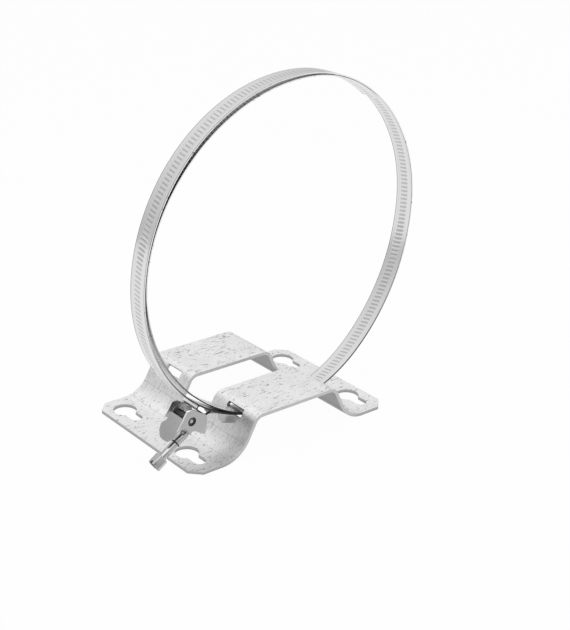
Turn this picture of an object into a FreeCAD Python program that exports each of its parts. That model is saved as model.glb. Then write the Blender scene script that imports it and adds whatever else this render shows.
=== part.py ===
# Expansion vessel strap: a folded wall bracket, a sprung toothed band and its hinged worm buckle.
# X runs along the folded profile, Y along the bends, Z out from the wall. Lengths in millimetres.
import FreeCAD, Part

import math
import os
from types import SimpleNamespace

import Sketcher
from FreeCAD import Placement, Rotation, Vector

os.makedirs("parts", exist_ok=True)
doc = FreeCAD.newDocument("expansion_vessel_strap")

# Driving sizes. Angles are in degrees.
SIZES = {
    # wall bracket
    "bracket_length": 140.5,
    "bracket_width": 95.0,
    "bracket_height": 24.5,
    "plate_thickness": 2.0,
    "foot_length": 31.4,
    "web_angle": 63.0,
    "foot_bend_radius": 18.0,
    "bridge_bend_radius": 5.0,
    "corner_cut": 6.2,
    "front_strip_width": 36.0,
    "window_width": 23.4,
    "window_foot_height": 10.0,
    "window_corner_radius": 1.5,
    # keyholes
    "keyhole_inset": 11.1,
    "keyhole_first_row": 21.65,
    "keyhole_row_spacing": 60.2,
    "keyhole_lobe_radius": 6.75,
    "keyhole_slot_radius": 3.6,
    "keyhole_travel": 11.4,
    # slots for the band
    "slot_width": 13.6,
    "front_slot_start": 10.85,
    "slot_spacing": 57.2,
    "slot_lower_height": 18.0,
    "slot_top_angle": 37.5,
    # band
    "band_width": 12.0,
    "band_thickness": 0.65,
    "band_middle": 17.65,
    "band_lean_angle": 0.79,
    "band_end_across": 31.25,
    "band_end_height": 23.97,
    "band_end_angle": 249.2,
    # bends of the band's middle line, from its fixed end
    "band_rise_radius": 83.78,
    "band_left_shoulder_radius": 100.6,
    "band_right_shoulder_radius": 83.5,
    "band_right_flank_radius": 111.0,
    "band_under_bridge_radius": 82.1,
    "band_second_rise_radius": 95.5,
    "band_spring_out_radius": 85.5,
    "band_touch_radius": 79.3,
    "band_spring_in_radius": 93.4,
    "band_second_shoulder_radius": 105.1,
    "band_tail_radius": 74.6,
    # saddle under the band
    "saddle_thickness": 0.8,
    "saddle_side_room": 0.2,
    "tongue_tip_across": 41.2,
    "tongue_tip_height": 20.1,
    "tongue_heel_across": 19.4,
    "tongue_heel_height": 28.9,
    "tongue_radius": 80.0,
    "ear_radius": 4.2,
    "ear_thickness": 0.7,
    "lug_thickness": 0.7,
    # hinge
    "pivot_across": 5.9,
    "pivot_height": 27.2,
    "pin_radius": 2.5,
    "pin_fit": 0.02,
    "pin_dome": 0.35,
    "pin_recess": 0.1,
    "hinge_clearance": 0.08,
    # housing
    "housing_angle": 122.0,
    "housing_thickness": 0.8,
    "housing_side_room": 0.15,
    "roof_depth": 5.6,
    "roof_start": 0.3,
    "roof_disc_centre": 8.45,
    "roof_disc_radius": 7.05,
    "fold_radius": 0.7,
    # screw
    "screw_tilt": 24.0,
    "screw_seat_along": 2.6,
    "screw_seat_depth": 8.45,
    "seat_plate_thickness": 0.8,
    "seat_plate_span": 7.4,
    "journal_radius": 1.7,
    "journal_clearance": 0.1,
    "journal_head_radius": 2.6,
    "journal_head_length": 0.9,
    "worm_radius": 3.1,
    "worm_length": 5.4,
    "shank_radius": 2.3,
    "shank_end": 12.8,
    "washer_radius": 3.6,
    "washer_thickness": 0.6,
    "neck_radius": 1.9,
    "head_start": 24.0,
    "head_length": 6.4,
    "head_across_flats": 7.0,
    "head_slot_width": 1.1,
    "head_slot_depth": 1.6,
    "axial_play": 0.2,
}

# Bends of the band, clockwise from its fixed end: the direction that the outside faces where each ends.
BAND_BENDS = {
    "rise": 180.0,
    "left_shoulder": 90.0,
    "right_shoulder": 0.0,
    "right_flank": -47.7,
    "under_bridge": -102.4,
    "second_rise": -150.0,
    "spring_out": -172.0,
    "touch": -190.0,
    "spring_in": -215.0,
    "second_shoulder": -270.0,
    "tail": -310.0,
}


class Size:
    """A number together with the spreadsheet expression that gives it."""

    def __init__(self, value, text):
        self.value = value
        self.text = text

    def __add__(self, other):
        other = as_size(other)
        return Size(self.value + other.value, f"({self.text} + {other.text})")

    def __sub__(self, other):
        other = as_size(other)
        return Size(self.value - other.value, f"({self.text} - {other.text})")

    def __mul__(self, other):
        other = as_size(other)
        return Size(self.value * other.value, f"({self.text} * {other.text})")

    def __truediv__(self, other):
        other = as_size(other)
        return Size(self.value / other.value, f"({self.text} / {other.text})")

    def __neg__(self):
        return Size(-self.value, f"(0 - {self.text})")

    def __rsub__(self, other):
        return as_size(other) - self

    def __radd__(self, other):
        return as_size(other) + self

    def __rmul__(self, other):
        return as_size(other) * self


def as_size(thing):
    return thing if isinstance(thing, Size) else Size(float(thing), f"({float(thing)})")


def sine(angle):
    angle = as_size(angle)
    return Size(math.sin(math.radians(angle.value)), f"sin({angle.text} * 1 deg)")


def cosine(angle):
    angle = as_size(angle)
    return Size(math.cos(math.radians(angle.value)), f"cos({angle.text} * 1 deg)")


def tangent(angle):
    angle = as_size(angle)
    return Size(math.tan(math.radians(angle.value)), f"tan({angle.text} * 1 deg)")


def square_root(number):
    return Size(math.sqrt(number.value), f"sqrt({number.text})")


def make_sheet():
    """Writes every driving size into one spreadsheet and hands them back by name."""
    sheet = doc.addObject("Spreadsheet::Sheet", "sizes")
    values = dict(SIZES)
    for name, angle in BAND_BENDS.items():
        values[f"band_{name}_end_angle"] = angle
    for row, (name, value) in enumerate(values.items(), start=1):
        sheet.set(f"A{row}", name)
        sheet.set(f"B{row}", str(value))
        sheet.setAlias(f"B{row}", name)
    doc.recompute()
    return SimpleNamespace(**{name: Size(value, f"sizes.{name}") for name, value in values.items()})


s = make_sheet()


def bind(thing, path, size):
    """Ties one property of a feature to the sheet."""
    thing.setExpression(path, size.text)


def new_body(name):
    body = doc.addObject("PartDesign::Body", name)
    body.Label = name
    return body


def plane_of(body, role):
    return next(item for item in body.Origin.OriginFeatures if item.Role == role)


def new_sketch(body, name, role, offset=None):
    """A sketch on one of the body's own planes, moved along the plane's normal by offset."""
    sketch = body.newObject("Sketcher::SketchObject", name)
    sketch.AttachmentSupport = [(plane_of(body, role), "")]
    sketch.MapMode = "FlatFace"
    if offset is not None:
        sketch.AttachmentOffset = Placement(Vector(0, 0, offset.value), Rotation())
        bind(sketch, "AttachmentOffset.Base.z", offset)
    return sketch


def constrain(sketch, kind, *terms):
    """Adds a constraint whose last term is a Size and ties it to the sheet."""
    size = terms[-1]
    value = math.radians(size.value) if kind == "Angle" else size.value
    index = sketch.addConstraint(Sketcher.Constraint(kind, *terms[:-1], value))
    bind(sketch, f"Constraints[{index}]", size)


def pin_point(sketch, geometry, position, across, up):
    constrain(sketch, "DistanceX", geometry, position, as_size(across))
    constrain(sketch, "DistanceY", geometry, position, as_size(up))


def vector(point):
    return Vector(as_size(point[0]).value, as_size(point[1]).value, 0)


def outline(sketch, corners):
    """A closed outline of straight runs through corners that are pairs of sizes."""
    first = sketch.GeometryCount
    count = len(corners)
    for index in range(count):
        start, end = vector(corners[index]), vector(corners[(index + 1) % count])
        sketch.addGeometry(Part.LineSegment(start, end), False)
    for index in range(count):
        following = first + (index + 1) % count
        sketch.addConstraint(Sketcher.Constraint("Coincident", first + index, 2, following, 1))
    for index, (across, up) in enumerate(corners):
        pin_point(sketch, first + index, 1, across, up)


def rectangle(sketch, left, bottom, right, top):
    outline(sketch, [(left, bottom), (right, bottom), (right, top), (left, top)])


def circle(sketch, across, up, radius):
    index = sketch.addGeometry(Part.Circle(vector((across, up)), Vector(0, 0, 1), radius.value), False)
    constrain(sketch, "Radius", index, radius)
    pin_point(sketch, index, 3, across, up)


def round_ended_slot(sketch, across, low, high, radius):
    """A slot along the sketch's vertical with half-round ends centred at low and high."""
    x, r = as_size(across).value, radius.value
    y_low, y_high = low.value, high.value
    lower = Part.ArcOfCircle(Part.Circle(Vector(x, y_low, 0), Vector(0, 0, 1), r), math.pi, 2 * math.pi)
    upper = Part.ArcOfCircle(Part.Circle(Vector(x, y_high, 0), Vector(0, 0, 1), r), 0, math.pi)
    low_arc = sketch.addGeometry(lower, False)
    right = sketch.addGeometry(Part.LineSegment(Vector(x + r, y_low, 0), Vector(x + r, y_high, 0)), False)
    high_arc = sketch.addGeometry(upper, False)
    left = sketch.addGeometry(Part.LineSegment(Vector(x - r, y_high, 0), Vector(x - r, y_low, 0)), False)
    joints = [(low_arc, 2, right, 1), (right, 2, high_arc, 1), (high_arc, 2, left, 1), (left, 2, low_arc, 1)]
    for joint in joints:
        sketch.addConstraint(Sketcher.Constraint("Tangent", *joint))
    for arc in (low_arc, high_arc):
        constrain(sketch, "Radius", arc, radius)
    pin_point(sketch, low_arc, 3, across, low)
    pin_point(sketch, high_arc, 3, across, high)


def pad(body, name, sketch, length, reverse=False, both_ways=False):
    feature = body.newObject("PartDesign::Pad", name)
    feature.Profile = sketch
    feature.Length = length.value
    bind(feature, "Length", length)
    feature.Reversed = reverse
    feature.Midplane = both_ways
    doc.recompute()
    return feature


def pocket(body, name, sketch, length=None, reverse=False):
    """A pocket of the given depth, or through everything; it must take material away."""
    before = body.Shape.Volume
    feature = body.newObject("PartDesign::Pocket", name)
    feature.Profile = sketch
    if length is None:
        feature.Type = "ThroughAll"
    else:
        feature.Length = length.value
        bind(feature, "Length", length)
    feature.Reversed = reverse
    doc.recompute()
    if not body.Shape.Volume < before:
        raise RuntimeError(f"{name} takes nothing away")
    return feature


def edges_where(shape, test):
    """Names of the edges whose middle point and end points pass the test."""
    names = []
    for number, edge in enumerate(shape.Edges, start=1):
        if test(edge, edge.BoundBox.Center):
            names.append(f"Edge{number}")
    if not names:
        raise RuntimeError("no edge found")
    return names


def dress(body, kind, name, base, edges, path, size):
    """A fillet or chamfer of the given size on named edges of the feature before it."""
    feature = body.newObject(f"PartDesign::{kind}", name)
    feature.Base = (base, edges)
    setattr(feature, path, size.value)
    bind(feature, path, size)
    doc.recompute()
    return feature


def close(one, other, room=0.05):
    return abs(one - other) < room


def place(body, across=0, middle=0, up=0, angle=0, axis=Vector(0, 1, 0)):
    """Puts a body at a point of the bracket, turned about an axis.

    The point counts from the bracket's near left corner. The frame's origin is the middle of the
    keyholes' narrow ends, on the wall.
    """
    across = as_size(across) - s.bracket_length / 2
    middle = as_size(middle) - (s.keyhole_first_row - s.keyhole_travel + s.keyhole_row_spacing / 2)
    up, angle = as_size(up), as_size(angle)
    body.Placement = Placement(Vector(across.value, middle.value, up.value), Rotation(axis, angle.value))
    bind(body, "Placement.Base.x", across)
    bind(body, "Placement.Base.y", middle)
    bind(body, "Placement.Base.z", up)
    bind(body, "Placement.Rotation.Angle", angle)


def make_wall_bracket():
    """Hat-shaped sheet: two feet with keyholes, two sloping webs and a bridge of two strips."""
    body = new_body("wall_bracket")
    half = s.bracket_length / 2
    thick = s.plate_thickness
    rise = s.bracket_height - thick
    run = rise / tangent(s.web_angle)
    corner_shift = thick * tangent(s.web_angle / 2)
    under_foot = half - s.foot_length
    under_bridge = under_foot - run
    upper_foot = under_foot + corner_shift
    upper_bridge = under_bridge + corner_shift

    profile = new_sketch(body, "bracket_profile", "XZ_Plane")
    outline(profile, [
        (-half, 0), (-under_foot, 0), (-under_bridge, rise), (under_bridge, rise), (under_foot, 0),
        (half, 0), (half, thick), (upper_foot, thick), (upper_bridge, s.bracket_height),
        (-upper_bridge, s.bracket_height), (-upper_foot, thick), (-half, thick),
    ])
    tip = pad(body, "bracket_sheet", profile, s.bracket_width, reverse=True)

    bends = [
        ("foot_bend_outside", under_foot, as_size(0), s.foot_bend_radius + thick),
        ("foot_bend_inside", upper_foot, thick, s.foot_bend_radius),
        ("bridge_bend_inside", under_bridge, rise, s.bridge_bend_radius),
        ("bridge_bend_outside", upper_bridge, s.bracket_height, s.bridge_bend_radius + thick),
    ]
    for name, across, up, radius in bends:
        edges = edges_where(body.Shape, lambda edge, middle: (
            close(abs(middle.x), across.value) and close(middle.z, up.value)
            and close(edge.Length, s.bracket_width.value)))
        tip = dress(body, "Fillet", name, tip, edges, "Radius", radius)
    corners = edges_where(body.Shape, lambda edge, middle: (
        close(abs(middle.x), half.value) and close(edge.Length, thick.value)
        and close(middle.z, thick.value / 2)))
    tip = dress(body, "Chamfer", "corner_cuts", tip, corners, "Size", s.corner_cut)

    window_start = s.front_strip_width
    window_end = window_start + s.window_width
    window_reach = under_foot - s.window_foot_height / tangent(s.web_angle) + thick / sine(s.web_angle)
    window = new_sketch(body, "window_outline", "XY_Plane")
    rectangle(window, -window_reach, window_start, window_reach, window_end)
    tip = pocket(body, "window", window, reverse=True)
    corners = edges_where(body.Shape, lambda edge, middle: (
        close(abs(middle.x), window_reach.value)
        and min(abs(middle.y - window_start.value), abs(middle.y - window_end.value)) < 0.05
        and edge.BoundBox.YLength < 0.01 and edge.BoundBox.XLength < 0.01))
    tip = dress(body, "Fillet", "window_corners", tip, corners, "Radius", s.window_corner_radius)

    lobes = new_sketch(body, "keyhole_lobes", "XY_Plane")
    slides = new_sketch(body, "keyhole_slides", "XY_Plane")
    for side in (-1, 1):
        for row in (0, 1):
            across = (half - s.keyhole_inset) * side
            up = s.keyhole_first_row + s.keyhole_row_spacing * row
            circle(lobes, across, up, s.keyhole_lobe_radius)
            round_ended_slot(slides, across, up - s.keyhole_travel, up, s.keyhole_slot_radius)
    pocket(body, "keyhole_lobe_cuts", lobes, reverse=True)
    pocket(body, "keyhole_slide_cuts", slides, reverse=True)

    # The slot for the band is cut square to the sheet: from the web up into the bridge's bend.
    bend_across = -under_bridge + s.bridge_bend_radius * tangent(s.web_angle / 2)
    bend_up = rise - s.bridge_bend_radius
    top_x, top_z = -sine(s.slot_top_angle), cosine(s.slot_top_angle)
    web_x, web_z = -sine(s.web_angle), cosine(s.web_angle)
    low_across = -under_foot + s.slot_lower_height / tangent(s.web_angle)
    beyond = thick / 2
    outer = s.bridge_bend_radius + thick + beyond
    inner = s.bridge_bend_radius - beyond
    reach_out = thick + beyond
    cutter = [
        (bend_across + top_x * outer, bend_up + top_z * outer),
        (bend_across + top_x * inner, bend_up + top_z * inner),
        (low_across - web_x * beyond, s.slot_lower_height - web_z * beyond),
        (low_across + web_x * reach_out, s.slot_lower_height + web_z * reach_out),
    ]
    cuts = []
    for pair, start in (("front", s.front_slot_start), ("back", s.front_slot_start + s.slot_spacing)):
        sketch = new_sketch(body, f"{pair}_slot_outline", "XZ_Plane", -start)
        outline(sketch, cutter)
        cuts.append(pocket(body, f"{pair}_slot", sketch, s.slot_width))
    before = body.Shape.Volume
    mirror = body.newObject("PartDesign::Mirrored", "far_web_slots")
    mirror.Originals = cuts
    mirror.MirrorPlane = (plane_of(body, "YZ_Plane"), [""])
    body.Tip = mirror
    doc.recompute()
    if not body.Shape.Volume < before:
        raise RuntimeError("the far web has no slots")

    place(body, half)
    return body


def band_bends():
    """Centre, radius, start and end direction of each bend of the band's middle line."""
    start = s.band_end_angle
    point = (s.band_end_across, s.band_end_height)
    bends = []
    for name in BAND_BENDS:
        radius = getattr(s, f"band_{name}_radius")
        end = getattr(s, f"band_{name}_end_angle")
        centre = (point[0] - radius * cosine(start), point[1] - radius * sine(start))
        bends.append((centre, radius, start, end))
        point = (centre[0] + radius * cosine(end), centre[1] + radius * sine(end))
        start = end
    return bends


def arc_chain(sketch, bends, offset):
    """Tangent arcs that follow the bends at a distance from their middle line; gives first and last."""
    first = sketch.GeometryCount
    for centre, radius, start, end in bends:
        ring = Part.Circle(vector(centre), Vector(0, 0, 1), (radius + offset).value)
        arc = Part.ArcOfCircle(ring, math.radians(end.value), math.radians(start.value))
        sketch.addGeometry(arc, False)
    last = sketch.GeometryCount - 1
    for index in range(first, last):
        sketch.addConstraint(Sketcher.Constraint("Tangent", index, 1, index + 1, 2))
    for index, (_, radius, start, end) in enumerate(bends, start=first):
        constrain(sketch, "Radius", index, radius + offset)
        constrain(sketch, "Angle", index, start - end)
    (across, up), radius, start, _ = bends[0]
    reach = radius + offset
    pin_point(sketch, first, 2, across + reach * cosine(start), up + reach * sine(start))
    constrain(sketch, "DistanceX", first, 3, across)
    return first, last


def join_ends(sketch, one, other):
    """A straight line between two ends, each a pair of geometry number and end number."""
    points = [sketch.getPoint(*one), sketch.getPoint(*other)]
    line = sketch.addGeometry(Part.LineSegment(*points), False)
    sketch.addConstraint(Sketcher.Constraint("Coincident", line, 1, *one))
    sketch.addConstraint(Sketcher.Constraint("Coincident", line, 2, *other))


def make_strap_band():
    """One stainless band: a full turn from its fixed end, then a second turn lying inside the first."""
    body = new_body("strap_band")
    outline_sketch = new_sketch(body, "band_edge_outline", "XZ_Plane", -s.band_middle)
    bends = band_bends()
    outer = arc_chain(outline_sketch, bends, s.band_thickness / 2)
    inner = arc_chain(outline_sketch, bends, -s.band_thickness / 2)
    join_ends(outline_sketch, (outer[0], 2), (inner[0], 2))
    join_ends(outline_sketch, (outer[1], 1), (inner[1], 1))
    doc.recompute()
    pad(body, "band", outline_sketch, s.band_width, both_ways=True)

    # The loop leans away from the front edge of the bracket, turned about a line through its fixed end.
    middle = s.band_middle
    rise = s.band_end_height
    place(body, 0, middle - middle * cosine(s.band_lean_angle) - rise * sine(s.band_lean_angle),
          rise - rise * cosine(s.band_lean_angle) + middle * sine(s.band_lean_angle), -s.band_lean_angle, Vector(1, 0, 0))
    doc.recompute()
    return body


# Saddle. The side of its curled heel that faces the band and a side lug, from the tongue's heel. Then
# an ear: its outer edge from the pivot and its root from the heel.
CURL = [(-8.9, 4.75), (-10.2, 4.5), (-4.2, -0.8), (0, 0), (2.6, -1.6)]
LUG = [(4.0, -2.3), (15.7, -7.1), (17.2, -9.7), (15.9, -11.8), (6.9, -8.9), (4.8, -6.1)]
EAR_EDGE = [(2.9, -3.0), (-2.6, 3.3)]
EAR_ROOT = [(-10.5, 3.9), (-4.2, -1.4)]
# Housing cheek, measured from the pivot: along the fold, then away from the roof.
CHEEK = [(-4.5, -5.6), (-5.5, -3.9), (-6.0, 6.5), (-5.4, 8.2), (-0.9, 10.8), (4.2, 13.2),
         (4.2, 3.8), (6.3, 2.8), (4.5, -3.0), (8.0, -5.6)]


def unit_vector(start, end):
    dx, dz = end[0] - start[0], end[1] - start[1]
    length = square_root(dx * dx + dz * dz)
    return dx / length, dz / length


def shifted_run(corners, distance):
    """A run of sheet moved to the right of its direction of travel by a thickness."""
    directions = [unit_vector(*pair) for pair in zip(corners, corners[1:])]
    arriving = [directions[0]] + directions
    leaving = directions + [directions[-1]]
    shifted = []
    for (across, up), (ux, uz), (vx, vz) in zip(corners, arriving, leaving):
        share = distance / (as_size(1) + ux * vx + uz * vz)
        shifted.append((share * (uz + vz) + across, up - share * (ux + vx)))
    return shifted


def from_heel(points):
    """Points of the saddle measured from the heel of its tongue."""
    return [(s.tongue_heel_across + across, s.tongue_heel_height + up) for across, up in points]


def make_saddle():
    """Stainless sheet under the band: a tongue into the slot, a curled heel, two lugs and two ears."""
    body = new_body("strap_saddle")
    thick = s.saddle_thickness
    half_width = s.band_width / 2 + s.saddle_side_room

    dx = s.tongue_heel_across - s.tongue_tip_across
    dz = s.tongue_heel_height - s.tongue_tip_height
    chord = square_root(dx * dx + dz * dz)
    away = square_root(s.tongue_radius * s.tongue_radius - chord * chord / 4)
    centre = (s.tongue_tip_across + dx / 2 + away * dz / chord,
              s.tongue_tip_height + dz / 2 - away * dx / chord)
    tongue = new_sketch(body, "tongue_outline", "XZ_Plane")
    arcs = []
    for offset in (as_size(0), thick):
        radius = s.tongue_radius + offset
        share = radius / s.tongue_radius
        heel = (centre[0] + (s.tongue_heel_across - centre[0]) * share,
                centre[1] + (s.tongue_heel_height - centre[1]) * share)
        tip = (centre[0] + (s.tongue_tip_across - centre[0]) * share,
               centre[1] + (s.tongue_tip_height - centre[1]) * share)
        ring = Part.Circle(vector(centre), Vector(0, 0, 1), radius.value)
        angles = [math.atan2(end[1].value - centre[1].value, end[0].value - centre[0].value)
                  for end in (heel, tip)]
        arc = tongue.addGeometry(Part.ArcOfCircle(ring, *angles), False)
        pin_point(tongue, arc, 1, *heel)
        pin_point(tongue, arc, 2, *tip)
        constrain(tongue, "Radius", arc, radius)
        arcs.append(arc)
    join_ends(tongue, (arcs[0], 1), (arcs[1], 1))
    join_ends(tongue, (arcs[0], 2), (arcs[1], 2))
    pad(body, "tongue", tongue, half_width * 2, both_ways=True)

    curl = new_sketch(body, "curl_outline", "XZ_Plane")
    run = from_heel(CURL)
    outline(curl, run + shifted_run(run, thick)[::-1])
    pad(body, "curl", curl, half_width * 2, both_ways=True)

    lug = new_sketch(body, "lug_outline", "XZ_Plane", half_width)
    outline(lug, from_heel(LUG))
    near_lug = pad(body, "near_lug", lug, s.lug_thickness)

    inside = half_width - s.ear_thickness
    ear = new_sketch(body, "ear_outline", "XZ_Plane", inside)
    edge = [(s.pivot_across + across, s.pivot_height + up) for across, up in EAR_EDGE]
    outline(ear, edge + from_heel(EAR_ROOT))
    near_ear = pad(body, "near_ear", ear, s.ear_thickness)
    boss = new_sketch(body, "ear_round", "XZ_Plane", inside)
    circle(boss, s.pivot_across, s.pivot_height, s.ear_radius)
    near_boss = pad(body, "near_ear_round", boss, s.ear_thickness)
    mirror = body.newObject("PartDesign::Mirrored", "far_side")
    mirror.Originals = [near_lug, near_ear, near_boss]
    mirror.MirrorPlane = (plane_of(body, "XZ_Plane"), [""])
    body.Tip = mirror
    doc.recompute()

    bore = new_sketch(body, "ear_bore_outline", "XZ_Plane", half_width)
    circle(bore, s.pivot_across, s.pivot_height, s.pin_radius + s.pin_fit)
    pocket(body, "ear_bores", bore, half_width * 2)
    place(body, middle=s.band_middle)
    return body


def inner_half():
    """From the middle of the housing to the inside of a cheek."""
    return s.band_width / 2 + s.saddle_side_room + s.housing_side_room


def make_hinge_pin():
    """A domed rivet through the ears and the cheeks, set a little below the cheeks' faces."""
    body = new_body("hinge_pin")
    half_length = inner_half() + s.housing_thickness - s.pin_recess
    section = new_sketch(body, "pin_section", "XZ_Plane")
    circle(section, as_size(0), as_size(0), s.pin_radius)
    shank = pad(body, "pin_shank", section, half_length * 2, both_ways=True)
    rims = edges_where(body.Shape, lambda edge, middle: edge.BoundBox.YLength < 0.01)
    dress(body, "Fillet", "pin_domes", shank, rims, "Radius", s.pin_dome)
    place(body, s.pivot_across, s.band_middle, s.pivot_height)
    return body


def make_housing():
    """Folded channel on the pin: a roof with a round tongue, two cheeks and a seat for the screw."""
    body = new_body("buckle_housing")
    inside = inner_half()
    thick = s.housing_thickness
    outside = inside + thick

    cheek = new_sketch(body, "cheek_outline", "XZ_Plane", inside)
    outline(cheek, CHEEK)
    near_cheek = pad(body, "near_cheek", cheek, thick)
    mirror = body.newObject("PartDesign::Mirrored", "far_cheek")
    mirror.Originals = [near_cheek]
    mirror.MirrorPlane = (plane_of(body, "XZ_Plane"), [""])
    body.Tip = mirror
    doc.recompute()

    top = -(s.roof_depth + thick)
    fold = new_sketch(body, "roof_fold_outline", "XY_Plane", top)
    rectangle(fold, s.roof_start, -outside, CHEEK[-1][0], outside)
    tip = pad(body, "roof_fold", fold, thick)
    for side in (-1, 1):
        rim = new_sketch(body, f"rim_outline_{'near' if side < 0 else 'far'}", "XY_Plane", top)
        edge, back = inside * side, outside * side
        rectangle(rim, CHEEK[0][0], min(edge, back, key=lambda size: size.value),
                  s.roof_start, max(edge, back, key=lambda size: size.value))
        tip = pad(body, f"rim_{'near' if side < 0 else 'far'}", rim, thick)
    folds = edges_where(body.Shape, lambda edge, middle: (
        close(middle.z, top.value) and close(abs(middle.y), outside.value)
        and edge.BoundBox.YLength < 0.01))
    dress(body, "Fillet", "folds", tip, folds, "Radius", s.fold_radius)
    disc = new_sketch(body, "roof_tongue_outline", "XY_Plane", top)
    circle(disc, s.roof_disc_centre, as_size(0), s.roof_disc_radius)
    pad(body, "roof_tongue", disc, thick)

    # The seat is square to the screw, which leans from the fold towards the roof.
    seat = new_sketch(body, "seat_outline", "XZ_Plane")
    lean_a, lean_b = sine(s.screw_tilt), cosine(s.screw_tilt)
    corners = []
    for along, side in ((-1, -1), (1, -1), (1, 1), (-1, 1)):
        reach = s.seat_plate_span / 2 * along
        half = s.seat_plate_thickness / 2 * side
        corners.append((s.screw_seat_along + reach * lean_a + half * lean_b,
                        s.screw_seat_depth + reach * lean_b - half * lean_a))
    outline(seat, corners)
    pad(body, "screw_seat", seat, inside * 2, both_ways=True)
    hole = new_sketch(body, "seat_hole_outline", "XY_Plane")
    turn = s.screw_tilt + 90
    hole.AttachmentOffset = Placement(Vector(s.screw_seat_along.value, 0, s.screw_seat_depth.value),
                                      Rotation(Vector(0, 1, 0), turn.value))
    bind(hole, "AttachmentOffset.Base.x", s.screw_seat_along)
    bind(hole, "AttachmentOffset.Base.z", s.screw_seat_depth)
    bind(hole, "AttachmentOffset.Rotation.Angle", turn)
    circle(hole, as_size(0), as_size(0), s.journal_radius + s.journal_clearance)
    cut = pocket(body, "seat_hole", hole, s.seat_plate_thickness * 2)
    cut.Midplane = True
    pivot = new_sketch(body, "pivot_hole_outline", "XZ_Plane", outside)
    circle(pivot, as_size(0), as_size(0), s.pin_radius + s.hinge_clearance)
    pocket(body, "pivot_holes", pivot, outside * 2)
    place(body, s.pivot_across, s.band_middle, s.pivot_height, s.housing_angle)
    return body


def place_on_screw(body):
    """Puts a body at the screw's seat with its own Z axis along the screw, towards the head."""
    turn = s.housing_angle
    across = s.pivot_across + s.screw_seat_along * cosine(turn) + s.screw_seat_depth * sine(turn)
    up = s.pivot_height - s.screw_seat_along * sine(turn) + s.screw_seat_depth * cosine(turn)
    place(body, across, s.band_middle, up, turn + s.screw_tilt + 90)


def make_screw():
    """Clamp screw: a headed journal in its seat, a worm, a shank, a neck and a slotted hexagon."""
    body = new_body("clamp_screw")
    face = s.seat_plate_thickness / 2 + s.axial_play
    worm_end = face + s.worm_length
    section = new_sketch(body, "screw_section", "XZ_Plane")
    outline(section, [
        (0, -(face + s.journal_head_length)), (s.journal_head_radius, -(face + s.journal_head_length)),
        (s.journal_head_radius, -face), (s.journal_radius, -face), (s.journal_radius, face),
        (s.worm_radius, face), (s.worm_radius, worm_end), (s.shank_radius, worm_end),
        (s.shank_radius, s.shank_end), (s.neck_radius, s.shank_end), (s.neck_radius, s.head_start),
        (0, s.head_start),
    ])
    turned = body.newObject("PartDesign::Revolution", "screw_turned")
    turned.Profile = section
    turned.ReferenceAxis = (section, ["V_Axis"])
    turned.Angle = 360
    doc.recompute()
    hexagon = new_sketch(body, "head_outline", "XY_Plane", s.head_start)
    corner = s.head_across_flats / 2 / cosine(30)
    outline(hexagon, [(corner * cosine(60 * at + 30), corner * sine(60 * at + 30)) for at in range(6)])
    pad(body, "head", hexagon, s.head_length)
    slot = new_sketch(body, "head_slot_outline", "XY_Plane", s.head_start + s.head_length)
    rectangle(slot, -corner * 1.2, -s.head_slot_width / 2, corner * 1.2, s.head_slot_width / 2)
    pocket(body, "head_slot", slot, s.head_slot_depth)
    place_on_screw(body)
    return body


def make_washer():
    """A plain washer on the neck, against the end of the shank."""
    body = new_body("screw_washer")
    ring = new_sketch(body, "washer_outline", "XY_Plane", s.shank_end)
    circle(ring, as_size(0), as_size(0), s.washer_radius)
    circle(ring, as_size(0), as_size(0), s.neck_radius + 0.15)
    pad(body, "washer", ring, s.washer_thickness)
    place_on_screw(body)
    return body


def main():
    bodies = [make_wall_bracket(), make_strap_band(), make_saddle(), make_hinge_pin(), make_housing(),
              make_screw(), make_washer()]
    doc.recompute()
    for item in doc.Objects:
        if "Invalid" in item.State or "Error" in item.State:
            raise RuntimeError(f"{item.Name} did not build: {item.State}")
    for body in bodies:
        if body.Shape.isNull() or not body.Shape.isValid():
            raise RuntimeError(f"{body.Label} is not a sound solid")
    for body in bodies:
        body.Shape.exportStep(f"parts/{body.Label}.step")
        box = body.Shape.BoundBox
        print(body.Label, len(body.Shape.Solids), round(body.Shape.Volume, 1),
              [round(side, 1) for side in (box.XMin, box.YMin, box.ZMin, box.XMax, box.YMax, box.ZMax)])


main()
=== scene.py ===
"""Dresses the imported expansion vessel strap: toothed band, worm screw, finishes and a plain studio."""

import math

import bmesh
import bpy
from bpy.props import FloatProperty, FloatVectorProperty, IntProperty, PointerProperty
from mathutils import Matrix, Vector


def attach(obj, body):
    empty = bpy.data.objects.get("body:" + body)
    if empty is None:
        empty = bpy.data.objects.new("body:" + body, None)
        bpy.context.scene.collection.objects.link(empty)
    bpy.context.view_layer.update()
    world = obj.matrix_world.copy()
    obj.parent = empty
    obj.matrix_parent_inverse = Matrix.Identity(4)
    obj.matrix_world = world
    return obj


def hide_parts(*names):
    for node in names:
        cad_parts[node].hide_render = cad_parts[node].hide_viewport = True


bl_info = {
    "name": "Expansion Vessel Strap",
    "version": (1, 0, 0),
    "blender": (4, 5, 0),
    "location": "View3D > Sidebar > Vessel Strap",
    "description": "Models and finishes a wall bracket with a toothed band and a hinged worm buckle",
    "category": "Object",
}

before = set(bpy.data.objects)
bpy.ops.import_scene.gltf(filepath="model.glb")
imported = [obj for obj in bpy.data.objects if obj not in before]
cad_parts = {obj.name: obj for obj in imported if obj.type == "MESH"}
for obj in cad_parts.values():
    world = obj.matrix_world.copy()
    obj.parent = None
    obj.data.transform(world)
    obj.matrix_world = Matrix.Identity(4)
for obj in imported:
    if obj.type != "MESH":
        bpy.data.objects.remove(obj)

# Plain lengths are in mm, and angles in degrees.
MM = 0.001
# From the bracket's near left corner, which the sizes count from, to the frame's origin.
DATUM = Vector((-70.25, -40.35, 0.0)) * MM
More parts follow.
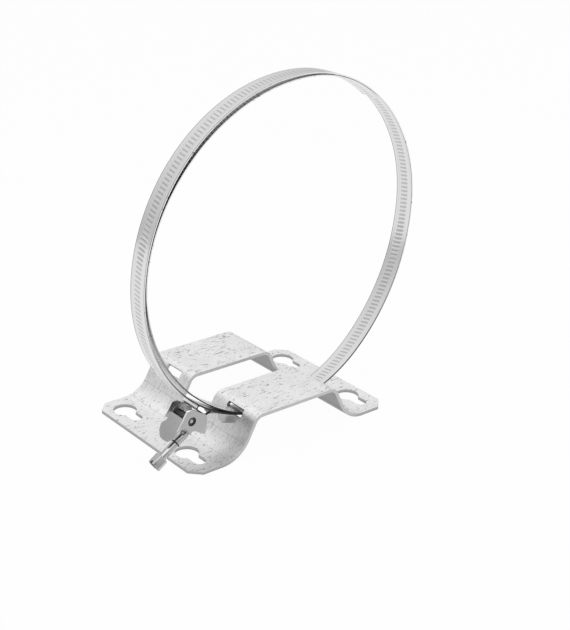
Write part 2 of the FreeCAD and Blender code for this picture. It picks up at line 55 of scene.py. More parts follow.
# The band, the buckle and the saddle share this middle plane, along Y.
BAND_MIDDLE = 17.65


def grey(level):
    return (level, level, level)


class StrapSizes(bpy.types.PropertyGroup):
    """Sizes of the pieces that are modelled here."""

    band_width: FloatProperty(
        name="Band width", description="Across the band", default=12.0 * MM, unit="LENGTH")
    band_thickness: FloatProperty(
        name="Band thickness", description="Sheet of the band", default=0.65 * MM, unit="LENGTH")
    tooth_spacing: FloatProperty(
        name="Tooth spacing", description="From one pressed tooth to the next", default=2.4 * MM,
        unit="LENGTH")
    tooth_length: FloatProperty(
        name="Tooth length", description="Across the band", default=5.6 * MM, unit="LENGTH")
    tooth_depth: FloatProperty(
        name="Tooth depth", description="How far a tooth is pressed in", default=0.12 * MM,
        unit="LENGTH")
    tooth_slant: FloatProperty(
        name="Tooth slant", description="Lean of a tooth from square across the band",
        default=math.radians(9), subtype="ANGLE")
    worm_radius: FloatProperty(
        name="Worm radius", description="Outside of the worm's thread", default=3.05 * MM,
        unit="LENGTH")
    worm_root: FloatProperty(
        name="Worm root", description="Bottom of the worm's thread", default=2.15 * MM,
        unit="LENGTH")
    worm_sides: IntProperty(
        name="Worm sides", description="Steps in one turn of the thread", default=48, min=12)


class StrapColours(bpy.types.PropertyGroup):
    """Colours of the finishes."""

    zinc: FloatVectorProperty(
        name="Zinc", description="Galvanised sheet", default=grey(0.92), subtype="COLOR", size=3,
        min=0, max=1)
    zinc_fleck: FloatVectorProperty(
        name="Zinc fleck", description="Dark flecks and scratches in the zinc", default=grey(0.16),
        subtype="COLOR", size=3, min=0, max=1)
    band_steel: FloatVectorProperty(
        name="Band steel", description="Rolled stainless band", default=grey(0.74),
        subtype="COLOR", size=3, min=0, max=1)
    cut_edge: FloatVectorProperty(
        name="Cut edge", description="Sheared edges of the band", default=grey(0.85),
        subtype="COLOR", size=3, min=0, max=1)
    pressed_steel: FloatVectorProperty(
        name="Pressed steel", description="Buckle and saddle", default=grey(0.46),
        subtype="COLOR", size=3, min=0, max=1)
    screw_steel: FloatVectorProperty(
        name="Screw steel", description="Bright plated screw and pin", default=grey(0.45),
        subtype="COLOR", size=3, min=0, max=1)
    dark_collar_and_edge_shade: FloatVectorProperty(
        name="Dark collar and edge shade", description="Dark collar, and painted shade on the saddle's edges", default=grey(0.03),
        subtype="COLOR", size=3, min=0, max=1)
    floor: FloatVectorProperty(
        name="Floor", description="Studio floor", default=grey(0.9),
        subtype="COLOR", size=3, min=0, max=1)


def sizes():
    return bpy.context.scene.strap_sizes


def colours():
    return bpy.context.scene.strap_colours


# ---- modelling helpers ----

# Below this angle between two faces the edge is shaded smooth.
SMOOTH_ANGLE = 35.0
# Rims sharper than this angle are rounded.
SHARP_ANGLE = 50.0
CIRCLE_SIDES = 48


def deselect_everything():
    if bpy.context.object and bpy.context.object.mode != "OBJECT":
        bpy.ops.object.mode_set(mode="OBJECT")
    bpy.ops.object.select_all(action="DESELECT")


def take(thing):
    """Selects one piece alone and makes it the active one."""
    deselect_everything()
    thing.select_set(True)
    bpy.context.view_layer.objects.active = thing


def name_new(name):
    """Names the object that an operator has just added, and its mesh."""
    thing = bpy.context.object
    thing.name = thing.data.name = name
    return thing


def apply_place(thing):
    take(thing)
    bpy.ops.object.transform_apply(location=True, rotation=True, scale=True)


def apply_modifier(thing, kind, **settings):
    take(thing)
    modifier = thing.modifiers.new(kind.title(), kind)
    for key, value in settings.items():
        setattr(modifier, key, value)
    bpy.ops.object.modifier_apply(modifier=modifier.name)


def edit(thing, mode="VERT"):
    """Opens a piece in edit mode with nothing selected."""
    take(thing)
    bpy.ops.object.mode_set(mode="EDIT")
    bpy.ops.mesh.select_mode(type=mode)
    bpy.ops.mesh.select_all(action="DESELECT")


def choose(thing, kind, test):
    """Selects the vertices, edges or faces that pass a test."""
    mesh = bmesh.from_edit_mesh(thing.data)
    bpy.ops.mesh.select_all(action="DESELECT")
    chosen = [item for item in getattr(mesh, kind) if test(item)]
    if not chosen:
        raise RuntimeError(f"nothing on {thing.name} matches, in {kind}")
    for item in chosen:
        item.select_set(True)
    bmesh.update_edit_mesh(thing.data)


def cut_off(place, side, **settings):
    """Cuts away all that lies past a place; the side is a direction along one axis."""
    bpy.ops.mesh.select_all(action="SELECT")
    bpy.ops.mesh.bisect(plane_co=place, plane_no=side, clear_outer=True, **settings)


def turn_faces_out():
    bpy.ops.mesh.select_all(action="SELECT")
    bpy.ops.mesh.normals_make_consistent(inside=False)


def close_edit():
    bpy.ops.object.mode_set(mode="OBJECT")


def join(pieces, name):
    deselect_everything()
    for piece in pieces:
        piece.select_set(True)
    bpy.context.view_layer.objects.active = pieces[0]
    bpy.ops.object.join()
    return name_new(name)


def smooth(thing, angle=SMOOTH_ANGLE):
    take(thing)
    bpy.ops.object.shade_smooth_by_angle(angle=math.radians(angle))


def cover(thing, *materials):
    """Gives a piece its materials, the first of them on every face."""
    thing.data.materials.clear()
    for material in materials:
        thing.data.materials.append(material)


def cylinder(radius, low, high, name="part", sides=CIRCLE_SIDES):
    """A cylinder along Z, or a prism with few sides."""
    deselect_everything()
    bpy.ops.mesh.primitive_cylinder_add(vertices=sides, radius=radius * MM, depth=(high - low) * MM,
                                        location=(0, 0, (low + high) / 2 * MM))
    piece = name_new(name)
    apply_place(piece)
    return piece


def round_ends(piece, width, segments=3):
    """Rounds the sharp rims of a piece."""
    apply_modifier(piece, "BEVEL", width=width * MM, segments=segments, limit_method="ANGLE",
                   angle_limit=math.radians(SHARP_ANGLE))


def cut_with(piece, tool):
    """Cuts a tool's shape out of a piece and takes the tool away."""
    apply_modifier(piece, "BOOLEAN", object=tool, operation="DIFFERENCE", solver="EXACT")
    bpy.data.objects.remove(tool)


# ---- finishes ----

# Sockets of a Mix node that mixes colours.
MIX_FACTOR, MIX_LOW, MIX_HIGH, MIX_RESULT = 0, 6, 7, 2
# Marks of a metal: how the noise is drawn out along the sheet, and where it turns to a mark.
FLECK_STRETCH, FLECK_CONTRAST = (0.32, 1.0, 1.0), 14.0
SCRATCH_STRETCH, SCRATCH_TURN = (0.06, 1.0, 1.0), (0.2, 0.3, math.radians(38))
SCRATCH_SIZE, SCRATCH_RANGE, CLOUD_SIZE = 300.0, (0.6, 0.72), 60.0
# How much of a metal's marks shows, and how dark they are beside it.
CLOUD_DARKER, CLOUD_LIGHTER = 0.3, 0.25
SCRATCH_TONE, SCRATCH_SHARE, FLECK_SHARE = 0.6, 0.5, 0.8
# How far the clouds take the roughness down and up, and how deep they are.
ROUGHNESS_BELOW, ROUGHNESS_ABOVE = 0.08, 0.12
CLOUD_RELIEF = 0.02 * MM


def shade(colour, factor):
    return tuple(min(1.0, part * factor) for part in colour)


def new_material(name):
    """A material, its node tree and its shader."""
    material = bpy.data.materials.new(name)
    material.use_nodes = True
    return material, material.node_tree, material.node_tree.nodes["Principled BSDF"]


def add(tree, kind, **settings):
    """Adds a node; a setting that starts with in_ is the value of that input."""
    node = tree.nodes.new(kind)
    for key, value in settings.items():
        if key.startswith("in_"):
            node.inputs[key[3:].replace("_", " ")].default_value = value
        else:
            setattr(node, key, value)
    return node


def feed(tree, value, socket):
    """Links an output to a socket, or writes a plain value there."""
    if isinstance(value, bpy.types.NodeSocket):
        tree.links.new(value, socket)
    else:
        socket.default_value = value


def calc(tree, operation, *values, clamp=False):
    """The result of one Math node on outputs or plain numbers."""
    node = add(tree, "ShaderNodeMath", operation=operation, use_clamp=clamp)
    for socket, value in zip(node.inputs, values):
        feed(tree, value, socket)
    return node.outputs[0]


def mapped(tree, value, start, end, to_start=0.0, to_end=1.0):
    """A value carried from one range to another and held inside it."""
    node = add(tree, "ShaderNodeMapRange", in_From_Min=start, in_From_Max=end,
               in_To_Min=to_start, in_To_Max=to_end)
    tree.links.new(value, node.inputs["Value"])
    return node.outputs[0]


def mixed(tree, low, high, factor):
    """A colour between two, by a mask."""
    mix = add(tree, "ShaderNodeMix", data_type="RGBA")
    for socket, colour in ((MIX_LOW, low), (MIX_HIGH, high)):
        plain = not isinstance(colour, bpy.types.NodeSocket)
        feed(tree, (*colour, 1.0) if plain else colour, mix.inputs[socket])
    feed(tree, factor, mix.inputs[MIX_FACTOR])
    return mix.outputs[MIX_RESULT]


def parts_of(tree, vector):
    node = add(tree, "ShaderNodeSeparateXYZ")
    tree.links.new(vector, node.inputs[0])
    return node.outputs


def noise(tree, place, scale, detail, roughness, stretch=None, turn=(0.0, 0.0, 0.0)):
    """A noise pattern; with a stretch its place is scaled and turned first."""
    if stretch:
        mapping = add(tree, "ShaderNodeMapping", in_Rotation=turn, in_Scale=stretch)
        tree.links.new(place, mapping.inputs["Vector"])
        place = mapping.outputs[0]
    pattern = add(tree, "ShaderNodeTexNoise", in_Detail=detail, in_Roughness=roughness)
    tree.links.new(place, pattern.inputs["Vector"])
    feed(tree, scale, pattern.inputs["Scale"])
    return pattern.outputs["Fac"]


def marks_group():
    """Masks over a metal surface: flecks, fine scratches and a slow cloudiness."""
    group = bpy.data.node_groups.get("Metal marks")
    if group:
        return group
    group = bpy.data.node_groups.new("Metal marks", "ShaderNodeTree")
    face = group.interface
    face.new_socket("Vector", in_out="INPUT", socket_type="NodeSocketVector")
    for name in ("Fleck size", "Fleck limit"):
        face.new_socket(name, in_out="INPUT", socket_type="NodeSocketFloat")
    for name in ("Flecks", "Scratches", "Clouds"):
        face.new_socket(name, in_out="OUTPUT", socket_type="NodeSocketFloat")
    given = add(group, "NodeGroupInput").outputs
    masks = add(group, "NodeGroupOutput").inputs

    flecks = noise(group, given["Vector"], given["Fleck size"], detail=3.0, roughness=0.6,
                   stretch=FLECK_STRETCH)
    over = calc(group, "SUBTRACT", flecks, given["Fleck limit"])
    group.links.new(calc(group, "MULTIPLY", over, FLECK_CONTRAST, clamp=True), masks["Flecks"])
    scratches = noise(group, given["Vector"], SCRATCH_SIZE, detail=4.0, roughness=0.7,
                      stretch=SCRATCH_STRETCH, turn=SCRATCH_TURN)
    group.links.new(mapped(group, scratches, *SCRATCH_RANGE), masks["Scratches"])
    clouds = noise(group, given["Vector"], CLOUD_SIZE, detail=5.0, roughness=0.62)
    group.links.new(clouds, masks["Clouds"])
    return group


def metal(name, colour, dark, roughness, fleck_limit=0.62, fleck_size=700.0, cloudiness=0.5,
          metallic=1.0):
    """A metal with flecks, scratches and clouds on Object coordinates; a high limit gives few flecks."""
    material, tree, shader = new_material(name)
    shader.inputs["Metallic"].default_value = metallic
    place = add(tree, "ShaderNodeTexCoord").outputs["Object"]
    group = add(tree, "ShaderNodeGroup", node_tree=marks_group())
    group.inputs["Fleck limit"].default_value = fleck_limit
    group.inputs["Fleck size"].default_value = fleck_size
    tree.links.new(place, group.inputs["Vector"])
    marks = group.outputs
    cloudy = mixed(tree, shade(colour, 1 - CLOUD_DARKER * cloudiness),
                   shade(colour, 1 + CLOUD_LIGHTER * cloudiness), marks["Clouds"])
    scratched = mixed(tree, cloudy, shade(colour, SCRATCH_TONE),
                      calc(tree, "MULTIPLY", marks["Scratches"], SCRATCH_SHARE))
    flecked = mixed(tree, scratched, dark, calc(tree, "MULTIPLY", marks["Flecks"], FLECK_SHARE))
    tree.links.new(flecked, shader.inputs["Base Color"])
    rough = mapped(tree, marks["Clouds"], 0.0, 1.0, roughness - ROUGHNESS_BELOW,
                   roughness + ROUGHNESS_ABOVE)
    tree.links.new(rough, shader.inputs["Roughness"])
    relief = add(tree, "ShaderNodeBump", in_Distance=CLOUD_RELIEF)
    tree.links.new(marks["Clouds"], relief.inputs["Height"])
    tree.links.new(relief.outputs[0], shader.inputs["Normal"])
    return material


def lay_over(material, colour, layers):
    """Lays shades of a colour over a metal.

    Each layer has a value, the range over which it comes in, a tone and a share."""
    tree = material.node_tree
    socket = tree.nodes["Principled BSDF"].inputs["Base Color"]
    base = socket.links[0].from_socket
    for value, reach, tone, share in layers:
        mask = calc(tree, "MULTIPLY", mapped(tree, value, *reach), share)
        base = mixed(tree, base, shade(colour, tone), mask)
    tree.links.new(base, socket)


# ---- the bracket ----

# Lines that the press left along the bends: how far from the middle, and half their width.
CREASES = ((36.7, 0.28), (46.6, 0.35))
# The marks on the zinc, and the painted shade on its slanted webs, undersides, cut faces and inner
# corners: the range of noise, slant or openness over which each comes in, how dark it is beside the
# sheet, and how much of it shows.
SPECKS = (0.56, 0.7), 0.55, 0.7
# Painted shade on the slanted webs and bends.
PAINTED_WEB_SHADE = (0.93, 0.7), 0.74, 0.55
STRETCHED_ZINC = (0.0, 1.0), 0.45, 0.6
# Painted shade on the faces that look down.
PAINTED_UNDERSIDE_SHADE = (-0.1, -0.5), 0.28, 1.0
PRESS_LINES = (0.0, 1.0), 0.4, 0.42
# Painted shade on the cut faces.
PAINTED_CUT_FACE_SHADE = (0.12, 0.06), 0.6, 1.0
# Painted shade in the inner corners that ambient occlusion finds.
PAINTED_CORNER_SHADE = (0.72, 0.4), 0.12, 0.7
SPECK_SIZE, CORNER_REACH, WORN_RADIUS = 1500.0, 7.0 * MM, 0.35 * MM
# Short marks run down the bends, where the zinc was stretched.
BEND_MARK_SIZE, BEND_MARK_STRETCH, BEND_MARK_RANGE = 420.0, (0.5, 2.2, 0.45), (0.5, 0.68)


def crease_mask(tree, place):
    side = calc(tree, "ABSOLUTE", parts_of(tree, place)["X"])
    mask = 0.0
    for middle, half_width in CREASES:
        away = calc(tree, "ABSOLUTE", calc(tree, "SUBTRACT", side, middle * MM))
        near = calc(tree, "SUBTRACT", 1.0, calc(tree, "DIVIDE", away, half_width * MM), clamp=True)
        mask = calc(tree, "MAXIMUM", near, mask)
    return mask


def zinc_finish():
    """Galvanised sheet: cloudy, with dark dashes, fine specks, marked bends and rubbed, rounded cut
    edges; the webs, undersides, cut faces and inner corners get painted shade.
    """
    zinc = tuple(colours().zinc)
    material = metal("Galvanised sheet", zinc, tuple(colours().zinc_fleck), roughness=0.42,
                     fleck_limit=0.595, fleck_size=880.0, cloudiness=0.35)
    tree = material.node_tree
    chart = add(tree, "ShaderNodeTexCoord").outputs
    place, facing = chart["Object"], parts_of(tree, chart["Normal"])
    # Cut faces stand square to the wall; the webs and bends stand at a slant. Both get painted shade.
    level = calc(tree, "ABSOLUTE", facing["Z"])
    specks = noise(tree, place, SPECK_SIZE, detail=2.0, roughness=0.6)
    marks = noise(tree, place, BEND_MARK_SIZE, detail=4.0, roughness=0.65, stretch=BEND_MARK_STRETCH)
    stretched = calc(tree, "MULTIPLY", mapped(tree, level, *PAINTED_WEB_SHADE[0]),
                     mapped(tree, marks, *BEND_MARK_RANGE))
    # Painted shade: ambient occlusion darkens the inner corners, and the webs, undersides and cut faces
    # darken by the way they face.
    openness = add(tree, "ShaderNodeAmbientOcclusion", samples=8, in_Distance=CORNER_REACH)
    lay_over(material, zinc, (
        (specks, *SPECKS), (level, *PAINTED_WEB_SHADE), (stretched, *STRETCHED_ZINC),
        (facing["Z"], *PAINTED_UNDERSIDE_SHADE), (crease_mask(tree, place), *PRESS_LINES), (level, *PAINTED_CUT_FACE_SHADE),
        (openness.outputs["AO"], *PAINTED_CORNER_SHADE)))
    edge_rounding_and_painted_highlight = add(tree, "ShaderNodeBevel", samples=6, in_Radius=WORN_RADIUS)
    tree.links.new(edge_rounding_and_painted_highlight.outputs[0], tree.nodes["Bump"].inputs["Normal"])
    return material


class VESSEL_STRAP_OT_bracket(bpy.types.Operator):
    """Gives the wall bracket its galvanised finish"""

    bl_idname = "vessel_strap.bracket"
    bl_label = "Wall bracket"

    def execute(self, context):
        cover(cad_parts["wall_bracket"], zinc_finish())
        return {"FINISHED"}


# ---- the band ----

# The band's middle line, clockwise from its fixed end: radius, and the direction that the outside
# faces where each bend ends.
BAND_START = (31.25, 23.97)
BAND_START_ANGLE = 249.2
BAND_BENDS = [
    (83.78, 180.0), (100.6, 90.0), (83.5, 0.0), (111.0, -47.7), (82.1, -102.4), (95.5, -150.0),
    (85.5, -172.0), (79.3, -190.0), (93.4, -215.0), (105.1, -270.0), (74.6, -310.0),
]
BAND_LEAN = 0.79
# The longest bend between two points of the line, and the steps that it is drawn with.
LONGEST_STEP, CURVE_STEPS = 15.0, 16
BAND_SMOOTH_ANGLE = 40.0
# A tooth's grid, how deep each of its columns is pressed, and how deep its end row stays.
TOOTH_COLUMNS, TOOTH_ROWS = 6, 14
TOOTH_RELIEF = {2: 0.6, 3: 1.0, 4: 0.6}
TOOTH_END_SHARE = 0.35
# Teeth beyond both ends of the band, which are cut off.
SPARE_TEETH = 2
# Finish of the band: its streaks, the painted shade between the teeth and a dark line of painted
# shade at both edges.
STREAK_STRETCH, STREAK_SIZE, STREAK_RANGE = (0.05, 9.0, 1.0), 1.6, (0.42, 0.62)
STREAK_LIGHT, STREAK_DARK, GROOVE_SHADE_TONE = 1.04, 0.93, 0.68
GROOVE_HALF_WIDTH, GROOVE_CONTRAST, GROOVE_END_CONTRAST = 0.24, 9.0, 4.0
PAINTED_EDGE_SHADE_COLOUR, PAINTED_EDGE_SHADE_SHARE, PAINTED_EDGE_SHADE_RANGE = grey(0.09), 0.9, (0.466, 0.48)
# The band's edges are painted darker, as shade and dark reflection, from the first height down to
# the second, in metres.
PAINTED_SHADE_HEIGHTS, PAINTED_SHADE_TONE = (0.10, 0.04), 0.05


def band_arcs():
    """Centre, radius, start and end direction of each bend."""
    across, up = BAND_START
    start = BAND_START_ANGLE
    arcs = []
    for radius, end in BAND_BENDS:
        centre = (across - radius * math.cos(math.radians(start)),
                  up - radius * math.sin(math.radians(start)))
        arcs.append((centre, radius, start, end))
        across = centre[0] + radius * math.cos(math.radians(end))
        up = centre[1] + radius * math.sin(math.radians(end))
        start = end
    return arcs


def band_length():
    return sum(radius * math.radians(start - end) for _, radius, start, end in band_arcs()) * MM


def band_path():
    """A flat curve along the band's middle line, with X across and Y up."""
    knots = []
    for centre, radius, start, end in band_arcs():
        count = math.ceil((start - end) / LONGEST_STEP)
        step = math.radians(start - end) / count
        reach = 4 / 3 * math.tan(step / 4) * radius
        for index in range(count + 1):
            angle = math.radians(start) - step * index
            point = Vector((centre[0] + radius * math.cos(angle),
                            centre[1] + radius * math.sin(angle), 0))
            along = Vector((math.sin(angle), -math.cos(angle), 0)) * reach
            if index == 0 and knots:
                knots[-1][2] = point + along
            else:
                knots.append([point, point - along, point + along])
    curve = bpy.data.curves.new("band_path", "CURVE")
    curve.dimensions = "2D"
    curve.resolution_u = CURVE_STEPS
    line = curve.splines.new("BEZIER")
    line.bezier_points.add(len(knots) - 1)
    for place, (point, before, after) in zip(line.bezier_points, knots):
        place.handle_left_type = place.handle_right_type = "FREE"
        place.co, place.handle_left, place.handle_right = point * MM, before * MM, after * MM
    thing = bpy.data.objects.new("band_path", curve)
    bpy.context.scene.collection.objects.link(thing)
    return thing


def tooth_cell():
    """One tooth's share of the band, flat: X along it, Y across it, its outside up."""
    size = sizes()
    deselect_everything()
    bpy.ops.mesh.primitive_grid_add(x_subdivisions=TOOTH_COLUMNS, y_subdivisions=TOOTH_ROWS, size=1.0)
    cell = name_new("toothed_band")
    cell.scale = (size.tooth_spacing, size.band_width, 1)
    apply_place(cell)
    edit(cell)
    half = size.tooth_length / 2
    column, row_height = size.tooth_spacing / TOOTH_COLUMNS, size.band_width / TOOTH_ROWS
    slack = column / 10
    for row in range(TOOTH_ROWS + 1):
        across = (row / TOOTH_ROWS - 0.5) * size.band_width
        choose(cell, "verts", lambda v: abs(v.co.y - across) < slack)
        lean = math.tan(size.tooth_slant) * max(-half, min(half, across))
        bpy.ops.transform.translate(value=(lean, 0, 0))
        if abs(across) > half + row_height:
            continue
        fade = max(0.0, min(1.0, (half - abs(across)) / row_height + TOOTH_END_SHARE))
        for index, share in TOOTH_RELIEF.items():
            middle = (index - TOOTH_COLUMNS / 2) * column + lean
            choose(cell, "verts", lambda v: abs(v.co.y - across) < slack
                   and abs(v.co.x - middle) < slack)
            bpy.ops.transform.translate(value=(0, 0, -size.tooth_depth * share * fade))
    close_edit()
    return cell


def chart_band(thing, width):
    """A UV map with its U along the band in band widths and its V from edge to edge."""
    layer = thing.data.uv_layers.new(name="along_band")
    for loop in thing.data.loops:
        place = thing.data.vertices[loop.vertex_index].co
        layer.data[loop.index].uv = (place.x / width, place.y / width + 0.5)


def groove_mask(tree, chart):
    """Where painted shade sits: in the gaps between the pressed teeth."""
    size = sizes()
    teeth_per_width = size.band_width / size.tooth_spacing
    parts = parts_of(tree, chart)
    across = calc(tree, "MULTIPLY", calc(tree, "SUBTRACT", parts["Y"], 0.5), teeth_per_width)
    along = calc(tree, "MULTIPLY", parts["X"], teeth_per_width)
    leaned = calc(tree, "SUBTRACT", along, calc(tree, "MULTIPLY", across, math.tan(size.tooth_slant)))
    from_tooth = calc(tree, "ABSOLUTE", calc(tree, "SUBTRACT", calc(tree, "FRACT", leaned), 0.5))
    near = calc(tree, "MULTIPLY", calc(tree, "SUBTRACT", GROOVE_HALF_WIDTH, from_tooth),
                GROOVE_CONTRAST, clamp=True)
    reach = size.tooth_length / 2 / size.tooth_spacing
    within = calc(tree, "MULTIPLY", calc(tree, "SUBTRACT", reach, calc(tree, "ABSOLUTE", across)),
                  GROOVE_END_CONTRAST, clamp=True)
    return calc(tree, "MULTIPLY", near, within)


def band_finish():
    """Rolled stainless: long streaks, painted shade between the teeth and a dark line of painted shade
    at both edges.
    """
    material, tree, shader = new_material("Rolled stainless band")
    shader.inputs["Metallic"].default_value = 1.0
    shader.inputs["Roughness"].default_value = 0.2
    colour = colours().band_steel
    chart = add(tree, "ShaderNodeUVMap", uv_map="along_band").outputs[0]
    streaks = noise(tree, chart, STREAK_SIZE, detail=3.0, roughness=0.55, stretch=STREAK_STRETCH)
    streaked = mixed(tree, shade(colour, STREAK_LIGHT), shade(colour, STREAK_DARK),
                     mapped(tree, streaks, *STREAK_RANGE))
    # Painted shade in the gaps between the teeth.
    grooved = mixed(tree, streaked, shade(colour, GROOVE_SHADE_TONE), groove_mask(tree, chart))
    # Painted shade: a dark line along both edges of the faces, where the band's layers shade each other.
    away = calc(tree, "ABSOLUTE", calc(tree, "SUBTRACT", parts_of(tree, chart)["Y"], 0.5))
    rim = calc(tree, "MULTIPLY", mapped(tree, away, *PAINTED_EDGE_SHADE_RANGE), PAINTED_EDGE_SHADE_SHARE)
    tree.links.new(mixed(tree, grooved, PAINTED_EDGE_SHADE_COLOUR, rim), shader.inputs["Base Color"])
    return material


def edge_finish():
    """Sheared edges of the band: bright high up, and painted darker low down by the buckle as shade and
    dark reflection.
    """
    light = tuple(colours().cut_edge)
    material = metal("Sheared band edge", light, grey(0.05), roughness=0.35, cloudiness=0.3)
    tree = material.node_tree
    # Painted shade and dark reflection: the lower the edge, the darker.
    height = parts_of(tree, add(tree, "ShaderNodeTexCoord").outputs["Object"])["Z"]
    lay_over(material, light, ((height, PAINTED_SHADE_HEIGHTS, PAINTED_SHADE_TONE, 1.0),))
    return material


class VESSEL_STRAP_OT_band(bpy.types.Operator):
    """Presses teeth into a strip, bends it round its path and gives it its thickness"""

    bl_idname = "vessel_strap.band"
    bl_label = "Toothed band"

    def execute(self, context):
        size = sizes()
        length = band_length()
        band = tooth_cell()
        band.location.x = -(SPARE_TEETH - 0.5) * size.tooth_spacing
        apply_place(band)
        apply_modifier(band, "ARRAY",
                       count=math.ceil(length / size.tooth_spacing) + 2 * SPARE_TEETH,
                       use_relative_offset=False, use_constant_offset=True,
                       constant_offset_displace=(size.tooth_spacing, 0, 0),
                       use_merge_vertices=True, merge_threshold=size.tooth_spacing / 50)
        edit(band)
        cut_off((0.0, 0, 0), (-1, 0, 0))
        cut_off((length, 0, 0), (1, 0, 0))
        close_edit()
        chart_band(band, size.band_width)
        band.rotation_euler.x = math.radians(-90)
        band.location.y = size.band_thickness / 2
        apply_place(band)
        path = band_path()
        apply_modifier(band, "CURVE", object=path, deform_axis="POS_X")
        bpy.data.objects.remove(path)
        cover(band, band_finish(), edge_finish())
        apply_modifier(band, "SOLIDIFY", thickness=size.band_thickness, offset=-1.0,
                       use_even_offset=True, material_offset_rim=1)
        band.rotation_euler.x = math.radians(90)
        apply_place(band)
        # The band leans about its fixed end.
        lean = math.radians(-BAND_LEAN)
        fixed = Vector((0, BAND_MIDDLE, BAND_START[1])) * MM
        level = Vector((0, BAND_MIDDLE * MM, 0))
        band.rotation_euler.x = lean
        band.location = fixed + Matrix.Rotation(lean, 4, "X") @ (level - fixed) + DATUM
        apply_place(band)
        smooth(band, BAND_SMOOTH_ANGLE)
        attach(band, "bracket_and_strap")
        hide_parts("strap_band")
        return {"FINISHED"}


# ---- the screw ----

# The seat that the screw's end turns in, its place from the bracket's corner and its lean.
SCREW_SEAT = (11.6882, BAND_MIDDLE, 20.5173)
SCREW_TURN = 236.0
WORM_START, WORM_END = 0.6, 6.0
# One pitch of the thread: how far along it, and how far out from the root to the outside.
WORM_PROFILE = ((0.0, 0.0), (0.14, 0.0), (0.42, 1.0), (0.58, 1.0), (0.86, 0.0), (1.0, 0.0))
SHANK_END, NECK_END = 13.4, 24.0
# The journal's head, the journal, the shank and the neck: radius, both ends, rounding of the rims.
TURNED_PARTS = (
    (2.6, -1.5, -0.6, 0.2), (1.7, -0.7, 0.7, 0.05), (2.35, WORM_END, SHANK_END, 0.25),
    (2.2, SHANK_END - 0.1, NECK_END + 0.1, 0.05),
)
HEAD_END, HEAD_FLATS, HEAD_INSET, HEAD_ROUNDING = 30.4, 7.0, 0.5, 0.35
SLOT_WIDTH, SLOT_DEPTH = 1.1, 1.6
COLLAR_RADIUS, COLLAR_THICKNESS, COLLAR_ROUNDING = 2.65, 0.45, 0.15
# The head's end is duller than the rest of the screw; its faces look along the axis.
HEAD_END_TONE, ALONG_AXIS = 0.4, 0.8


def worm_thread():
    """A thread profile of one pitch, swept round the axis and closed at both ends."""
    size = sizes()
    pitch = size.tooth_spacing
    mesh = bpy.data.meshes.new("worm_thread")
    reach = size.worm_radius - size.worm_root
    corners = [(size.worm_root + share * reach, 0, pitch * along) for along, share in WORM_PROFILE]
    mesh.from_pydata(corners, [(at, at + 1) for at in range(len(corners) - 1)], [])
    thread = bpy.data.objects.new("worm_thread", mesh)
    bpy.context.scene.collection.objects.link(thread)
    apply_modifier(thread, "SCREW", axis="Z", angle=math.tau, screw_offset=pitch,
                   iterations=math.ceil((WORM_END - WORM_START) * MM / pitch) + 1,
                   steps=size.worm_sides,
                   render_steps=size.worm_sides, use_merge_vertices=True,
                   merge_threshold=pitch / 1000)
    # The thread starts before the worm does, and is cut off at both ends.
    thread.location.z = WORM_START * MM - 1.5 * pitch
    apply_place(thread)
    edit(thread)
    bpy.ops.mesh.select_all(action="SELECT")
    bpy.ops.mesh.remove_doubles(threshold=pitch / 500)
    cut_off((0, 0, WORM_START * MM), (0, 0, -1), use_fill=True)
    cut_off((0, 0, WORM_END * MM), (0, 0, 1), use_fill=True)
    turn_faces_out()
    close_edit()
    return thread


def screw_head():
    """A hexagon with its rims rounded and a slot sawn across its end."""
    radius = HEAD_FLATS / 2 / math.cos(math.radians(30))
    head = cylinder(radius, NECK_END, HEAD_END, "head", sides=6)
    edit(head, "FACE")
    choose(head, "faces", lambda face: face.normal.z > ALONG_AXIS)
    bpy.ops.mesh.inset(thickness=HEAD_INSET * MM)
    close_edit()
    round_ends(head, HEAD_ROUNDING)
    deselect_everything()
    bpy.ops.mesh.primitive_cube_add(size=1.0, location=(0, 0, HEAD_END * MM))
    saw = name_new("slot_cutter")
    saw.scale = (radius * 3 * MM, SLOT_WIDTH * MM, SLOT_DEPTH * 2 * MM)
    apply_place(saw)
    cut_with(head, saw)
    return head


def place_on_screw(thing):
    """Moves a piece from the screw's own axes to its place in the buckle."""
    thing.rotation_euler.y = math.radians(SCREW_TURN)
    thing.location = Vector(SCREW_SEAT) * MM + DATUM
    apply_place(thing)


class VESSEL_STRAP_OT_washer(bpy.types.Operator):
    """Models the thin dark collar at the end of the shank"""

    bl_idname = "vessel_strap.washer"
    bl_label = "Washer"

    def execute(self, context):
        collar = cylinder(COLLAR_RADIUS, SHANK_END, SHANK_END + COLLAR_THICKNESS, "screw_collar")
        round_ends(collar, COLLAR_ROUNDING)
        place_on_screw(collar)
        smooth(collar)
        cover(collar, metal("Blackened washer", tuple(colours().dark_collar_and_edge_shade), grey(0.01),
                            roughness=0.45, metallic=0.4))
        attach(collar, "screw")
        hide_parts("screw_washer")
        return {"FINISHED"}


